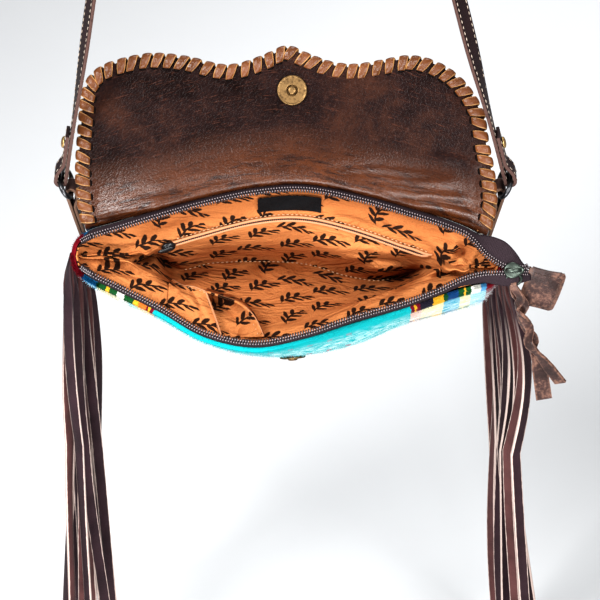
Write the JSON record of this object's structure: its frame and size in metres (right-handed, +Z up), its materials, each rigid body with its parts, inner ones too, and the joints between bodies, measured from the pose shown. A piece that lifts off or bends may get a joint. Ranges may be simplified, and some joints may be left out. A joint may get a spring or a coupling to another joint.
{
  "type": "leather flap bag",
  "caption": "Small flap bag hung open by its long strap: blanket-cloth pouch, laced leather flap, zipped lined mouth with pockets, and leather fringe down both side seams.",
  "frame": {"origin": "the underside of the strap at the top of its loop, where the bag hangs on a peg", "axes": "+Z up, +X to the bag's right as seen from the front, -Y out of the front; the bag hangs tilted, so that its open mouth looks up and forward"},
  "size_m": [0.315, 0.1622, 1.0316],
  "materials": {
    "blanket": "woven wool blanket cloth, teal field between coloured stripes",
    "lining": "printed cotton, tan with dark motifs",
    "flap_leather": "pull-up leather, satin",
    "lace_leather": "tan lace with pale cut edges",
    "tab_leather": "distressed brown leather",
    "strap_leather": "brown leather, stitched along both edges",
    "fringe_leather": "dark brown leather with pale cut edges",
    "zip_tape": "woven polyester tape",
    "zip_teeth": "dark coil teeth",
    "gunmetal": "dark gunmetal plate",
    "snap_brass": "antiqued brass",
    "rivet_brass": "antiqued brass",
    "label": "bare black woven label"
  },
  "bodies": {
    "root": {"front_panel": "blanket", "back_panel": "blanket", "lining": "lining", "flap": "flap_leather", "flap_lacing": "lace_leather", "snap_socket": "snap_brass", "snap_post": "snap_brass", "zipper_tape_front": "zip_tape", "zipper_tape_back": "zip_tape", "zipper_teeth_front": "zip_teeth", "zipper_teeth_back": "zip_teeth", "zipper_slider": "gunmetal", "zipper_pull": "tab_leather", "zipper_end_tab": "tab_leather", "pocket_zipper": "zip_teeth", "pocket_slider": "gunmetal", "slip_pocket": "lining", "label": "label", "strap": "strap_leather", "strap_ring_left": "gunmetal", "strap_ring_right": "gunmetal", "strap_rivet_left": "rivet_brass", "strap_rivet_right": "rivet_brass", "ring_tab_left": "tab_leather", "ring_tab_right": "tab_leather", "fringe_left": "fringe_leather", "fringe_right": "fringe_leather"}
  },
  "joints": []
}
